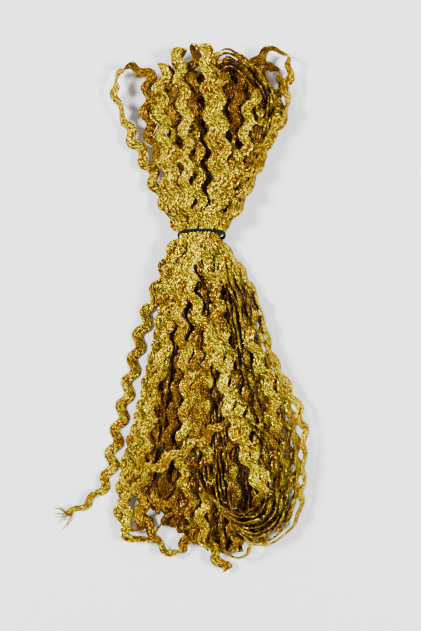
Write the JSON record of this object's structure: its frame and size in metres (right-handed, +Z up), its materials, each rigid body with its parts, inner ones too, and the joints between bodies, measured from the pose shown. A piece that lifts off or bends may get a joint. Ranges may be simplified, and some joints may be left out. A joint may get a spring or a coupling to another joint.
{
  "type": "ric-rac trim hank",
  "caption": "Hank of gold metallic ric-rac braid, tied near one end and laid flat: wavy loops fan out on both sides of the tie, with a frayed loose end.",
  "frame": {"origin": "on the surface that the hank lies on, under the middle of the hank without its loose end", "axes": "+Y along the hank from the long loops to the short loops above the tie, +Z up from the surface, +X to the right seen from above"},
  "size_m": [0.1121, 0.2435, 0.0185],
  "materials": {
    "gold_braid": "glittering metallic yarn",
    "tie": "matt"
  },
  "bodies": {
    "root": {"hank": "gold_braid", "tie": "tie", "loose_end": "gold_braid"}
  },
  "joints": []
}
